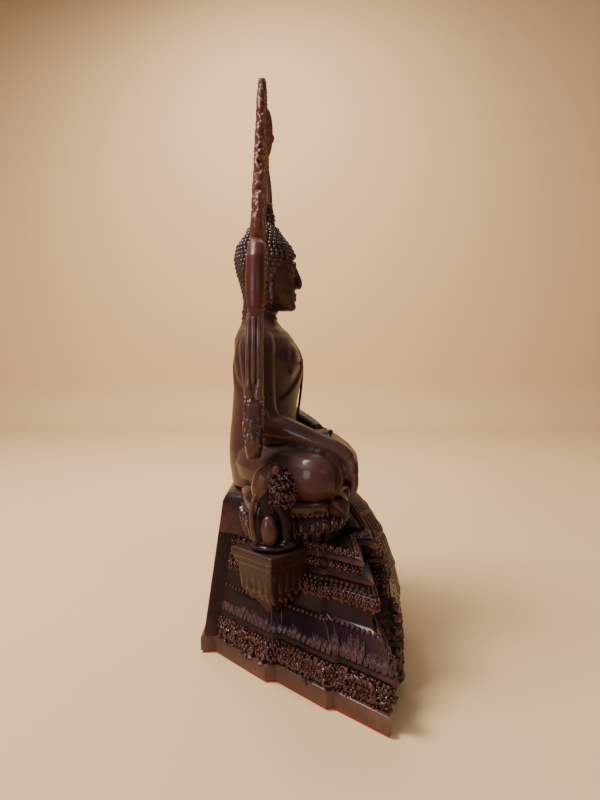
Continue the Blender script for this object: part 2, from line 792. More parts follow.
# length, splay in degrees and notch of each run, from the back
RUNS = [(40.9, 47.8, 5.4), (32.2, 45.9, 3.7), (29.8, 43.8, 0)]
FRONT_BLOCK_HALF, FRONT_BLOCK_STEP = 67, 8
DEPTH_SHARE = 0.6
PANEL_TOP, PLINTH_ROWS = 39, 3
REAR_LEAN, REAR_FOOT_Z, REAR_FOOT = 0.141, 8.8, 1.6
# height, how far the front corner stands in, how much further the front is set back
TIERS = [
    (1.3, 0, 0), (8.4, 0, 0), (9.2, 3.4, 0), (19.6, 3.4, 0), (20.6, 0.4, 0), (23, 0.4, 0), (24, 3, 0),
    (32.5, 9.5, 0), (35.4, 13, 0), (37, 17.5, 0), (43.6, 17.5, 0), (44.6, 15.4, 0), (49.4, 16.4, 0),
    (50.4, 23, 0), (53.2, 23, 0), (54, 19.5, 0), (56.2, 19.5, 0), (57, 24, 3), (61.6, 24, 3),
    (62.4, 19.5, 5), (64.6, 19.5, 5), (66, 22, 5),
]  # fmt: skip
# height and draw of the plain block behind the figure
SHOULDER = [(63, 0), (79, 0), (81.4, 0.8), (83.4, 2.6), (84.5, 5.4)]
# height, half width and front of the panel under the hanging cloth
PANEL = [(7, 65, -43.4), (31, 63, -43.2), (PANEL_TOP, 56, -40.5)]


def rear_y(z):
    return TOTAL_DEPTH / 2 - (0 if z < REAR_FOOT_Z else REAR_FOOT + REAR_LEAN * (z - REAR_FOOT_Z))


def side_steps():
    x, y, steps = 0, 0, []
    for length, splay, notch in RUNS:
        x += length * math.sin(math.radians(splay))
        y -= length * math.cos(math.radians(splay))
        steps.append((x, y))
        if notch:
            y -= notch
            steps.append((x, y))
    return steps


CORNER_REACH = side_steps()[-1][0]


def half_outline(z, inset, set_back=0):
    """One side of the plan as (x, y) points, from the back wall round to the front."""
    across = 1 - inset / CORNER_REACH
    forward = 1 - (DEPTH_SHARE * inset + set_back) / CORNER_REACH
    start_x, start_y = REAR_HALF - STRIP_TAPER, rear_y(z) - STRIP_LENGTH
    side = [(start_x + across * x, start_y + forward * y) for x, y in side_steps()]
    block = FRONT_BLOCK_HALF * (across * 0.9 + 0.1)
    front_y = side[-1][1]
    front = [(block, front_y - 0.2), (block, front_y - FRONT_BLOCK_STEP)]
    return [(REAR_HALF, rear_y(z)), (start_x, start_y), *side, *front]


def stack(outlines):
    """Extrudes the first outline upward and sets each new face to the next outline."""
    rise = 0.5
    made = plate(outlines[0], (0, 0, rise))
    mesh = bmesh.new()
    mesh.from_mesh(made.data)
    top = max(mesh.faces, key=lambda f: f.calc_center_median().z)
    lifted = [Vector((x, y, z + rise)) * MM for x, y, z in outlines[0]]
    column = [min(top.verts, key=lambda v: (v.co - spot).length) for spot in lifted]
    for number, ring in enumerate(outlines[1:]):
        if number:
            region = bmesh.ops.extrude_face_region(mesh, geom=[top])["geom"]
            new = [part for part in region if isinstance(part, bmesh.types.BMVert)]
            mesh.faces.remove(top)
            top = next(part for part in region if isinstance(part, bmesh.types.BMFace))
            column = [min(new, key=lambda v: (v.co - old.co).length) for old in column]
        for vertex, corner in zip(column, ring):
            vertex.co = Vector(corner) * MM
    mesh.to_mesh(made.data)
    mesh.free()
    return normals_out(made, merge=0.001)


def both_sides(half, z):
    """A full outline at one height from its +X half."""
    return [(x, y, z) for x, y in half] + [(-x, y, z) for x, y in reversed(half)]


def tier_outline(z, inset, set_back):
    return both_sides(half_outline(z, inset, set_back), z)


def soft_stacks(*pieces):
    for piece in pieces:
        modify(piece, "BEVEL", width=0.4 * MM, segments=2, angle_limit=math.radians(20))
    return smooth_edges(join(*pieces), 50)


def throne_body():
    body = stack([tier_outline(*tier) for tier in TIERS[PLINTH_ROWS - 1 :]])
    shoulder = []
    for z, draw in SHOULDER:
        back, wide = rear_y(z) - draw, REAR_HALF - draw
        shoulder.append(both_sides([(wide, back), (wide + 6, back - 12), (wide + 6, 4)], z))
    panel = []
    for z, half, y in PANEL:
        panel.append(both_sides([(half / 2, y - 3), (half, y), (half - 1, -20)], z))
    return soft_stacks(body, stack(shoulder), stack(panel))


plinth = soft_stacks(stack([tier_outline(*tier) for tier in TIERS[:PLINTH_ROWS]]))
finish_piece(plinth, "plinth", umber, "image_and_throne")
finish_piece(throne_body(), "throne_tiers", panels, "image_and_throne")

# %% [markdown]
# ## Carving on the tiers
# Each row of carving is one motif copied along the runs of its tier, always facing outward. The notch
# faces between two runs are short, so they take a single motif or none.


# %% Places along a tier
SHORTEST_RUN = 2.5


def along(start, end, pitch, aside):
    """(x, y, facing in degrees) at an even pitch; facing is turned aside from the way along."""
    (x0, y0), (x1, y1) = start, end
    amount = max(1, round(math.dist(start, end) / pitch))
    facing = math.degrees(math.atan2(y1 - y0, x1 - x0)) + aside
    shares = [(n + 0.5) / amount for n in range(amount)]
    return [(x0 + (x1 - x0) * share, y0 + (y1 - y0) * share, facing) for share in shares]


def spots(z, inset, pitch, set_back=0):
    """Places along both sides of a tier, and its front where no panel covers it."""
    corners = half_outline(z, inset, set_back)[1:]
    found = []
    for start, end in zip(corners, corners[1:]):
        if math.dist(start, end) >= SHORTEST_RUN:
            for x, y, facing in along(start, end, pitch, 90):
                found += [(x, y, facing), (-x, y, 180 - facing)]
    if z > PANEL_TOP:
        half, y = corners[-1]
        found += along((-half, y), (half, y), pitch, -90)
    return found


def row(model, z, inset, pitch, lean=0, out=0, set_back=0, wobble=1):
    """Copies of the motif along a tier, each cut a little differently, as by hand."""
    places = []
    for x, y, facing in spots(z, inset, pitch, set_back):
        turn = math.radians(facing)
        x, y = x + out * math.cos(turn), y + out * math.sin(turn)
        facing += random.uniform(-7, 7) * wobble
        size = 1 + random.uniform(-0.1, 0.1) * wobble
        places.append(at(x, y, z, facing, lean + random.uniform(-4, 4) * wobble, size))
    return copies(model, places)


# %% Motifs: petals, florets and beads
def petal(half, high, thick):
    outline = [(-half, 0), (half, 0), (half, high * 0.45), (half * 0.72, high * 0.78), (0, high)]
    outline += [(-half * 0.72, high * 0.78), (-half, high * 0.45)]
    return smooth_edges(leaf(outline, thick), 50)


def acanthus(half, high, thick):
    """A narrow standing leaf: a midrib between two shorter side ribs, their tips curling outward."""
    parts = []
    ribs = [(0, 1, 0.85), (-0.55, 0.86, 0.72), (0.55, 0.86, 0.72), (-1, 0.62, 0.6), (1, 0.62, 0.6)]
    for side, tall, radius in ribs:
        path = [
            (0, side * half * 0.5, 0, radius * 0.8),
            (thick * 0.7, side * half * 0.85, high * tall * 0.4, radius),
            (thick * 0.6, side * half, high * tall * 0.78, radius * 0.85),
            (thick * 1.5, side * half * 1.1, high * tall, radius * 0.55),
        ]
        parts.append(strand(path, detail=1, steps=3))
    return smooth_edges(join(*parts), 70)


def floret(radius, petals=5):
    """A round flower: a button with a ring of small balls."""
    parts = [small_ball(0.5, 0, 0, radius * 0.45)]
    out = radius * 0.72
    for a in turns(petals):
        parts.append(small_ball(0.2, out * math.cos(a), out * math.sin(a), radius * 0.38))
    return smooth_edges(join(*parts), 70)


def froth():
    """A knobbly rosette with a hanging drop, for the crowded row under the seat."""
    parts = [floret(1.9, 6), small_ball(0.4, 0, -2.9, 0.85, 1.3), small_ball(0.3, 1.7, -2.2, 0.6)]
    parts.append(small_ball(0.3, -1.7, -2.2, 0.6))
    return join(*parts)


# %% A flower among curling leaves, for the frieze
def frieze_flower():
    parts = [floret(2.2, petals=6)]
    for turn, reach in ((35, 3.9), (145, 3.6), (215, 4), (325, 3.7), (90, 3), (270, 3)):
        a, b = math.radians(turn), math.radians(turn + 50)
        path = [
            (0.2, 1.8 * math.cos(a), 1.8 * math.sin(a), 0.7),
            (0.9, reach * math.cos(a), reach * math.sin(a), 0.8),
            (0.7, reach * math.cos(b), reach * 0.9 * math.sin(b), 0.45),
        ]
        parts.append(strand(path, detail=1, steps=3))
    return smooth_edges(join(*parts), 60)


# %% Rows from the plinth up to the lotus
random.seed(4)
frieze = [
    row(frieze_flower(), 14.4, 3.4, 7.6, out=0.1, wobble=3),
    row(froth(), 11.6, 3.4, 4.6, out=0.3, wobble=5),
    row(froth(), 17.6, 3.4, 4.2, out=0.3, wobble=5),
    row(bead(0.75), 10.3, 3.4, 2.3, out=0.2),
    row(bead(0.75), 19.1, 3.4, 2.3, out=0.2),
]
finish_piece(join(*frieze), "frieze_carving", carved, "image_and_throne")
leaf_row = row(acanthus(1.35, 9, 1.1), 23.4, 2.6, 3.1, lean=-35, out=0.5, wobble=1.6)
finish_piece(leaf_row, "leaf_row", curls, "image_and_throne")
upper_rows = [
    row(bead(0.9), 35.9, 13.6, 2.7, out=0.3),
    row(froth(), 47.8, 15.6, 4.4, out=0.2),
    row(bead(0.8), 50.2, 18.6, 2.6, out=0.2),
    row(bead(0.7), 45.2, 15.4, 2.2, out=0.2),
    row(bead(0.95), 51.8, 23, 3, out=0.4),
    row(floret(1.8), 59.3, 24, 4, out=0.3, set_back=3),
    row(floret(1.7), 66.3, 23.6, 3.9, lean=-55, set_back=5),
]
finish_piece(join(*upper_rows), "tier_carving", carved, "image_and_throne")

# %% [markdown]
# ## The lotus
# The figure sits on an oval lotus. Its wall bulges, and two rings of upright petals stand on it, the
# upper ones in the gaps of the lower.

# %% Lotus wall and petals
SEAT_Y, SEAT_SQUARE = 6, 0.6
# height, half width, front and back depth of its wall
LOTUS = [(63, 57, 25, 24), (68.5, 60, 28, 27), (73.5, 61.5, 30, 28), (77, 59.4, 27.6, 26.6)]
LOTUS += [(78.5, 57, 25, 25)]


def oval(z, wide, front, back, sides=128):
    """A squarish ring round the seat."""
    ring = []
    for a in turns(sides):
        x, y = math.cos(a), math.sin(a)
        x = math.copysign(abs(x) ** SEAT_SQUARE, x) * wide
        y = math.copysign(abs(y) ** SEAT_SQUARE, y) * (back if y > 0 else front)
        ring.append((x, SEAT_Y + y, z))
    return ring


def around_oval(model, ring, pitch, lean=0, shift=0.0):
    """Copies of the motif at an even pitch round a ring, facing outward."""
    lengths = [0]
    for a, b in zip(ring, ring[1:] + ring[:1]):
        lengths.append(lengths[-1] + math.dist(a, b))
    amount = round(lengths[-1] / pitch)
    places = []
    for n in range(amount):
        goal = lengths[-1] * (n + shift) / amount
        spot = max(i for i, reached in enumerate(lengths[:-1]) if reached <= goal)
        (x0, y0, z), (x1, y1, _) = ring[spot], ring[(spot + 1) % len(ring)]
        share = (goal - lengths[spot]) / (lengths[spot + 1] - lengths[spot])
        facing = math.degrees(math.atan2(y1 - y0, x1 - x0)) - 90
        tip = lean + random.uniform(-3, 3)
        places.append(at(x0 + (x1 - x0) * share, y0 + (y1 - y0) * share, z, facing, tip))
    return copies(model, places)


def lotus():
    rings = [oval(z, wide - 1, front - 1, back - 1) for z, wide, front, back in LOTUS]
    wall = smooth_edges(stack(rings), 60)
    low = around_oval(petal(2.7, 8.4, 1.5), oval(65.2, 57.6, 25.6, 25), 5.6, lean=12)
    high = around_oval(petal(2.5, 7, 1.3), oval(70.6, 59.8, 28, 26.8), 5.6, lean=4, shift=0.5)
    beads = around_oval(bead(1.15), oval(78.3, 58.4, 26, 26), 2.9)
    return join(wall, low, high, beads)


finish_piece(lotus(), "lotus", lacquer, "image_and_throne")

# %% [markdown]
# ## The front
# The panel under the hanging cloth is covered with overlapping scales. A line of knobs and a ball foot
# stand at each end of it.


# %% Scales and ball feet
def scale_leaf(half, high, thick):
    right = [(half * 0.8, 0), (half, -high * 0.5), (half * 0.62, -high * 0.86)]
    outline = [(-half * 0.8, 0), *right, (0, -high)] + [(-across, up) for across, up in right[:0:-1]]
    blade = leaf(outline, thick, groove=0.35, belly=0.4)
    ribs = []
    for side in (-0.5, 0, 0.5):
        path = [(thick * 0.7, side * half * 0.6, -0.4, 0.45), (thick, side * half, -high * 0.75, 0.45)]
        ribs.append(strand(path, detail=1, steps=2))
    return smooth_edges(join(blade, *ribs), 50)


SCALE_ROWS, SCALE_TOP, SCALE_DROP, SCALES_ACROSS = 6, 39.6, 5.6, 16
SCALE_Y, SCALE_BULGE, SCALE_LEAN = -43.2, 3, -7
KNOB_HEIGHTS = (13, 17.6, 22.2, 26.8, 31.4, 36)


def front_scales():
    """Rows of scales that bulge in the middle, every other row with one more."""
    places = []
    for level in range(SCALE_ROWS):
        z = SCALE_TOP - SCALE_DROP * level
        half = 56 + min(1, (39 - z) / 8) * 7.5 if z > 30 else 64
        amount = SCALES_ACROSS + level % 2
        for n in range(amount):
            x = half * (2 * (n + 0.5) / amount - 1)
            y = SCALE_Y - min(SCALE_BULGE, 6 * (1 - abs(x) / half)) + (2.4 if z > 36 else 0)
            spin = math.copysign(5, x) if abs(x) > half / 2 else 0
            places.append(at(x, y, z, -90 + spin, SCALE_LEAN, 1 + random.uniform(-0.06, 0.06)))
    feet = [ball(side * 62, -41, 5.9, 4.6, 5.4, 4.6) for side in (-1, 1)]
    knobs = []
    for side in (-1, 1):
        for z in KNOB_HEIGHTS:
            knobs.append(ball(side * (64.4 - max(0, z - 26) * 0.5), -41.8, z, 2, 2.6, 2.7, 14, 8))
    made = join(copies(scale_leaf(4.4, 7.6, 1.6), places), *feet, *knobs)
    return smooth_edges(made, 50)


finish_piece(front_scales(), "front_scales", carved, "image_and_throne")

# %% [markdown]
# ## Brackets and guardians
# On each side of the throne a square bracket stands out over the steps, set cornerwise, and carries a
# seated beast. The bracket is the same kind of stack as the throne. The beast is cast like the figure,
# and its mane is a mass of small curls.

# %% Brackets
BRACKET_X, BRACKET_Y, BRACKET_SIDE, BRACKET_WAIST = 79, 15.5, 27.5, 46
# height and how far the sides are drawn in
BRACKET = [(33, 11.5), (37, 9.4), (41, 7), (43.6, 5), (46, 3.6), (51, 3), (57.6, 2.4), (58.4, 1.2)]
BRACKET += [(60.8, 1.2), (61.4, 0), (64.4, 0), (65, 0.4)]
FOLD_ROWS, FOLD_FOOT, FOLD_RISE, FOLD_PITCH = 6, 42.2, 2.6, 4.2


def bracket_outline(z, draw):
    reach = (BRACKET_SIDE - 2 * draw) / math.sqrt(2)
    middle = BRACKET_X - BRACKET_SIDE / math.sqrt(2) - max(0, BRACKET_WAIST - z) * 0.3
    corners = ((-reach, 0), (0, -reach), (reach, 0), (0, reach))
    return [(x - middle, BRACKET_Y + y, z) for x, y in corners]


def along_bracket(z, draw, pitch):
    """Places along the three free sides of the bracket."""
    west, front, east, back = [corner[:2] for corner in bracket_outline(z, draw)]
    runs = ((west, front), (front, east), (back, west))
    return [place for start, end in runs for place in along(start, end, pitch, -90)]


def bracket():
    """A smooth square console: a plain top plate, a moulding, and worn upright folds below."""
    body = stack([bracket_outline(z, draw) for z, draw in BRACKET])
    modify(body, "BEVEL", width=0.8 * MM, segments=3, angle_limit=math.radians(14))
    lumps = []
    for level in range(FOLD_ROWS):
        z = FOLD_FOOT + FOLD_RISE * level
        draw = 3.2 if z > BRACKET_WAIST else 3.6 + (BRACKET_WAIST - z) * 0.62
        for x, y, facing in along_bracket(z, draw, FOLD_PITCH):
            tall, wide = random.uniform(1.4, 3.4), random.uniform(0.8, 2.2)
            thick = random.uniform(0.2, 0.9)
            z_here = z + random.uniform(-1.4, 1.4)
            lumps.append(ball(x, y, z_here, thick, wide, tall, 8, 5, turn=(0, 0, facing)))
    return mirror(cast(join(body, *lumps), grain=0.5, rub=3, strength=0.4))


finish_piece(bracket(), "brackets", rubbed, "image_and_throne")

# %% Guardians
GUARDIAN = (64, 15, 65)
MANE_Y, MANE_Z = -3.6, 27.2
MANE_WIDE, MANE_DEEP, MANE_HIGH = 8.2, 6.7, 9.6
MANE_ROWS, MANE_BACK = 11, 1.4


def guardian_core():
    """The dark part: base, slim body, forelegs and the mass under the mane."""
    parts = [ball(0, 0, 2, 9.4, 10.2, 2.6), ball(0, MANE_Y, MANE_Z, 8, 6.4, 9.8)]
    parts.append(ball(0, -2.6, 13, 4.2, 5.4, 9.6))
    parts += [ball(side * 3.4, 5.8, 12, 2.6, 3, 9) for side in (-1, 1)]
    spine = [(0, 2, 4, 5.4), (0, 2.6, 13, 5.4), (0, 2.4, 24, 5.8), (0, 1.6, 32, 5)]
    parts.append(strand(spine, detail=4))
    for side in (-1, 1):
        leg = [(side * 3.6, -2.6, 22, 3.4), (side * 4.2, -5.8, 14, 2.7), (side * 4.3, -6.6, 6, 2.3)]
        parts.append(strand([*leg, (side * 4.3, -7.4, 3.2, 2.4)]))
        parts.append(ball(side * 5.2, -6.6, 3.6, 2.6, 4.4, 2.3))
    return parts


def guardian_light():
    """The rubbed part: hood, ears, brow, haunches and the upright tail."""
    hood = [(0, 4.4, 22, 4.4), (0, 4.4, 28, 5.8), (0, 3, 33.6, 5.6), (0, 0.4, 38.2, 3)]
    parts = [strand(hood, detail=4)]
    tail = [(3.2, 6.6, 28, 1), (4.2, 8.8, 22, 1.2), (4.6, 9.2, 13, 1.3), (4.4, 7.6, 5, 1.5)]
    parts.append(strand(tail))
    for side in (-1, 1):
        parts.append(ball(side * 6, 1.4, 9.6, 3.4, 3.9, 7, turn=(-6, 0, 0)))
        parts.append(ball(side * 2.6, -8.4, 30.6, 1.1))
        parts.append(ball(side * 4.6, -1.6, 36.6, 1.5, 2.2, 2.8, turn=(0, side * 20, 0)))
    return parts


def mane():
    """Curls in rows over a barrel round the neck, larger toward the front."""
    places = []
    for row_at in range(MANE_ROWS):
        lift = -1 + row_at * 2 / (MANE_ROWS - 1)
        ring = math.sqrt(max(0.06, 1 - lift * lift * 0.92))
        amount = round(20 * ring)
        for n in range(amount):
            turn = math.tau * (n + row_at % 2 / 2) / amount
            turn += random.uniform(-0.1, 0.1)
            x, y = MANE_WIDE * ring * math.cos(turn), MANE_Y + MANE_DEEP * ring * math.sin(turn)
            if y < MANE_BACK:
                z = MANE_Z + MANE_HIGH * lift + random.uniform(-0.8, 0.8)
                facing = math.degrees(math.atan2(y - MANE_Y, x)) + random.uniform(-60, 60)
                size = random.uniform(0.7, 1.3)
                places.append(at(x, y, z, facing, random.uniform(-60, 60), size))
    curl = [small_ball(0, 0, 0, 0.95), small_ball(0.8, 0.3, 0.4, 0.6), small_ball(0.6, -0.5, -0.5, 0.6)]
    return copies(join(*curl), places)


def place_pair(o):
    """Moves a beast to its bracket and makes its mirrored twin."""
    choose(o)
    bpy.ops.transform.translate(value=Vector(GUARDIAN) * MM)
    return mirror(settle(o))


cores = place_pair(cast(join(*guardian_core()), grain=0.45, rub=3))
finish_piece(cores, "guardian_cores", panels, "image_and_throne")
hoods = place_pair(cast(join(*guardian_light()), grain=0.4, rub=3))
finish_piece(hoods, "guardian_hoods", beast, "image_and_throne")
finish_piece(place_pair(smooth_edges(mane(), 70)), "guardian_manes", carved, "image_and_throne")

# %% [markdown]
# ## Cloth
# A plain cushion lies between the lotus and the legs. The hanging cloth falls over the front in
# overlapping layers, each a grid with broad ribs that fan out, ending in scallops.


# %% Seat cushion
# height, half width, front and back depth
CUSHION = [(77, 56.6, 24, 25), (78.4, 58.6, 25.6, 26.6), (80.6, 59.6, 26.4, 27.6), (83.4, 59.8, 26.4, 27.8)]
CUSHION += [(85.8, 58.6, 25.2, 27.4), (87.8, 56, 23.4, 26.4), (89.8, 52, 20.6, 25), (91.8, 46, 17, 23)]


def seat_cushion():
    """A plain round-edged cushion under the legs, with a line of beads where it meets the lotus."""
    cushion = smooth_edges(stack([oval(*ring) for ring in CUSHION]), 60)
    return join(cushion, around_oval(bead(1), oval(79.2, 58.6, 26, 27), 2.6))


finish_piece(seat_cushion(), "seat_cushion", lacquer, "image_and_throne")

# %% Hanging cloth
# y, height and half width down the middle of the cloth
FALL = [
    (-22, 83, 22), (-27.6, 80.4, 26), (-32.6, 77, 29), (-37, 72, 31.4), (-40.5, 67, 33), (-45.5, 58, 33),
    (-49.6, 46, 29), (-52.4, 34, 22), (-54, 25.5, 14), (-52.9, 18.5, 6),
]  # fmt: skip
# how far its edges bow back where it is widest, how far its middle sags
CLOTH_BOW, CLOTH_WIDEST, CLOTH_SAG = 9, 33, 3.5
CLOTH_THICK, RIB_HEIGHT, HEM_DEPTH, FOLD_DROP = 1.2, 0.8, 0.035, 0.34
# where a layer starts and stops, as shares of the fall, and its scallops
CLOTH_LAYERS = [(0, 0.3, 16), (0.27, 0.5, 15), (0.47, 0.68, 13), (0.65, 0.84, 10), (0.81, 0.97, 6)]
# share of the fall, radius and amount of the leaves under each hem
HEMS = [(0.31, 1.5, 20), (0.51, 1.5, 19), (0.69, 1.4, 15), (0.85, 1.3, 9), (0.96, 1.1, 4)]
# start, stop, depth, radius and amount of each line of leaves along the side folds
EDGES = [(0.04, 0.5, 15.2, 1.8, 13), (0.48, 0.82, 13.2, 1.6, 10), (0.1, 0.5, 9.6, 1.7, 12)]
EDGES += [(0.5, 0.8, 7.6, 1.5, 9), (0.2, 0.82, 4.2, 1.4, 18)]


def cloth_point(share, u, inward=0.0):
    """A place on the cloth: share runs from top to bottom, u from edge to edge."""
    y, z, half = between_rows(FALL, share * (len(FALL) - 1))
    bow = CLOTH_BOW * u * u * half / CLOTH_WIDEST
    return Vector((u * half, y + bow + inward, z - CLOTH_SAG * (1 - u * u))) * MM


def cloth_grid(across, down, place):
    """A thin sheet; place(side, fall) gives each point, side from -1 to 1 and fall from 0 to 1."""
    clear()
    bpy.ops.mesh.primitive_grid_add(x_subdivisions=across, y_subdivisions=down, size=2)
    made = settle(bpy.context.object)
    for corner in made.data.vertices:
        corner.co = place(corner.co.x, (1 - corner.co.y) / 2)
    modify(made, "SOLIDIFY", thickness=CLOTH_THICK * MM, offset=0)
    modify(made, "BEVEL", width=0.2 * MM, segments=1, angle_limit=math.radians(50))
    return made


def cloth_layer(start, stop, scallops):
    """One ruffled length of cloth: broad ribs fan down it and its hem is scalloped."""

    def place(u, fall):
        hem = abs(math.sin(math.pi * scallops * (u + 1) / 2)) * HEM_DEPTH * min(1, fall * 2)
        share = start + (stop - start) * fall + hem * fall
        fan = math.tau * (2.6 * u * u + 2.4 * abs(u) + 0.5 * share)
        rib = RIB_HEIGHT * math.cos(fan) * min(1, fall * 4)
        return cloth_point(min(share, 1), u * 0.985, 1.4 - rib)

    return cloth_grid(120, 16, place)


def cloth_edge(share):
    """Where the cloth's side edge is at that share of its fall, in millimetres."""
    return cloth_point(share, 0.975, 1.6) / MM


def side_fold(start, stop, depth, waves):
    """The side edge turned back toward the steps, ribbed along the fall and wavy at its end."""

    def place(side, fall):
        back = (side + 1) / 2
        reach = back * depth * (1 + 0.1 * math.sin(waves * fall * math.tau))
        ripple = 0.75 * math.sin(back * 4 * math.tau + 3 * fall) * min(1, back * 4)
        move = Vector((0.5 + ripple - 3.2 * back, reach, -reach * FOLD_DROP))
        return (cloth_edge(start + (stop - start) * fall) + move) * MM

    return cloth_grid(32, 44, place)


def hem_leaf(radius):
    """A knobbly leaf of the hem: a fan of five short lobes."""
    lobes = []
    for degrees in range(-70, 71, 35):
        across, down = math.sin(math.radians(degrees)), math.cos(math.radians(degrees)) * 0.8
        lobes.append(small_ball(0.3, radius * across, -radius * down, radius * 0.46))
    return join(small_ball(0, 0, 0, radius * 0.6), *lobes)


def hem_leaves(share, radius, amount):
    places = []
    for n in range(amount):
        spot = cloth_point(share, (2 * (n + 0.5) / amount - 1) * 0.96, 0.4) / MM
        tilt = math.degrees(math.atan2(spot.x, 60)) - 90
        lean, size = random.uniform(-12, 12), random.uniform(0.85, 1.1)
        places.append(at(*spot, tilt, lean, size))
    return copies(hem_leaf(radius), places)


def edge_leaves(start, stop, depth, radius, amount):
    """Leaves along the far edge of the side fold, on both sides."""
    places = []
    for n in range(amount):
        edge = cloth_edge(start + (stop - start) * (n + 0.5) / amount)
        y, z = edge.y + depth, edge.z - depth * FOLD_DROP
        for side in (-1, 1):
            x = side * (edge.x + 1.4 - 0.22 * depth)
            lean, size = random.uniform(-20, 20), random.uniform(0.8, 1.15)
            places.append(at(x, y, z, 180 if side < 0 else 0, lean, size))
    return copies(hem_leaf(radius), places)


def hanging_cloth():
    core = []
    for step in range(10):
        share = step / 9
        line = [cloth_point(share, u / 6, 2.4) / MM for u in range(-6, 7)]
        back = [line[-1] + Vector((0, 14, 0)), line[0] + Vector((0, 14, 0))]
        core.append([tuple(p) for p in line + back])
    layers = [cloth_layer(*layer) for layer in CLOTH_LAYERS] + [hem_leaves(*hem) for hem in HEMS]
    sides = mirror(join(side_fold(0.02, 0.5, 15, 5), side_fold(0.46, 0.82, 13, 4)))
    leaves = [edge_leaves(*edge) for edge in EDGES]
    return smooth_edges(join(*layers, sides, *leaves, stack(core)), 60)


def corner_leaves():
    """Curled leaves along the front edge of the upper tiers, from each corner in toward the cloth."""
    places = []
    tiers = [(63.5, 19.5, 5), (58.5, 22, 2), (55, 19.5, 0), (47.4, 16, 0), (41, 17.5, 0)]
    for z, inset, set_back in tiers:
        corner_x, corner_y = half_outline(z, inset, set_back)[-1]
        for n in range(5):
            for side in (-1, 1):
                x = side * (corner_x - 0.8 - 4 * n)
                y = corner_y - 0.6 - 0.5 * n + random.uniform(-0.6, 0.3)
                lean, size = random.uniform(-25, 25), random.uniform(0.8, 1.2)
                places.append(at(x, y, z + random.uniform(-1, 1), 180 if side < 0 else 0, lean, size))
    return smooth_edges(copies(hem_leaf(1.9), places), 60)


finish_piece(hanging_cloth(), "hanging_cloth", drape, "image_and_throne")
finish_piece(corner_leaves(), "corner_leaves", flame, "image_and_throne")

# %% [markdown]
# ## The flame arch
# Both limbs of the arch are alike: a flat core that follows a curve, a pair of thin ridges along the
# inner edge at the front, and a column of bulging flame leaves along the outside. The lower limb is
# fluted, a smooth rounded lobe sits beside the head, and a beast's head ends it at the foot.

# %% Core, leaves and ridges
# x and z of the limb's middle line, half width
LIMB = [
    (60.5, 130, 5), (60.5, 150, 4.4), (60, 166, 4.6), (57, 178, 5.2), (51, 190, 5.6), (44.5, 202, 5.8),
    (38, 216, 6), (31, 232, 6), (23.6, 248, 6), (16.4, 264, 6.2), (9.6, 280, 6.6), (4.2, 296, 4.6),
    (0.6, 309.5, 1.4),
]  # fmt: skip
ARCH_Y, ARCH_THICK, ARCH_TOP = 23.8, 6.2, 311.5
ARCH_FRONT, ARCH_BACK = ARCH_Y - ARCH_THICK / 2, ARCH_Y + ARCH_THICK / 2
LIMB_LENGTH = 192
TAPER_FROM, TAPER = 215, 0.3
FIRST_LEAF, LEAVES = 0.475, 13


def limb_place(share, reach=0.0):
    """A point on the limb and its direction; share runs from foot to tip, reach is in half widths."""
    spot = min(share, 0.9999) * (len(LIMB) - 1)
    low = int(spot)
    x, z, half = between_rows(LIMB, spot)
    before, after = LIMB[max(low - 1, 0)], LIMB[min(low + 2, len(LIMB) - 1)]
    heading = Vector((after[0] - before[0], after[1] - before[1])).normalized()
    return Vector((x, z)) + Vector((heading.y, -heading.x)) * reach * half, heading


def limb_line(reach, y, radius, start=0.0, stop=1.0, points=26, detail=2):
    path = []
    for n in range(points):
        share = start + (stop - start) * n / (points - 1)
        place, _ = limb_place(share, reach)
        fade = min(1, 0.35 + 6 * (1 - share))
        path.append((max(place.x, 0), y, min(place.y, ARCH_TOP - radius - 0.6), radius * fade))
    return strand(path, detail=detail, steps=3)


def limb_core():
    shares = [n / 48 for n in range(49)]
    outer = [limb_place(s, 0.74)[0] for s in shares]
    inner = [limb_place(s, -0.96)[0] for s in shares]
    tip = [Vector((0.6, ARCH_TOP - 0.3)), Vector((0, ARCH_TOP - 0.1))]
    line = outer + tip + [Vector((max(p.x, 0), p.y)) for p in inner[::-1]]
    return plate([(p.x, ARCH_FRONT, p.y) for p in line], (0, ARCH_THICK, 0))


# how far out, how far up and how thick, from the limb to the tip of a leaf
FLAME_CURVE = [(1.6, 0, 0.9), (4, 1, 1), (5.3, 3.4, 0.98), (5.9, 6.4, 0.92), (5.9, 8.2, 0.62)]
# y, radius and reach of its round body and its two thin edges
FLAME_LAYERS = [(ARCH_Y, 3.1, 1), (ARCH_FRONT + 0.5, 1, 0.72), (ARCH_BACK - 0.5, 1, 0.72)]
# how many lumps lie on the leaves, how far out, and how round the leaf is under them
LUMPS, LUMPS_OUT, LEAF_ROUND = 120, 5.7, 2.85


def flame_leaf(share, size):
    place, up = limb_place(share, 0.3)
    out = Vector((up.y, -up.x))
    parts = []
    for y, radius, reach in FLAME_LAYERS:
        path = []
        for across, ahead, thick in FLAME_CURVE:
            spot = place + (out * across + up * ahead) * size * reach
            round_here = max(radius * thick * size, 0.3)
            path.append((max(spot.x, 0.3), y, min(spot.y, ARCH_TOP - 0.6), round_here))
        parts.append(strand(path, steps=4))
    return parts


def leaf_size(share):
    """The leaves grow smaller toward the point of the arch."""
    return min(1, 0.34 + 5.2 * (1 - share))


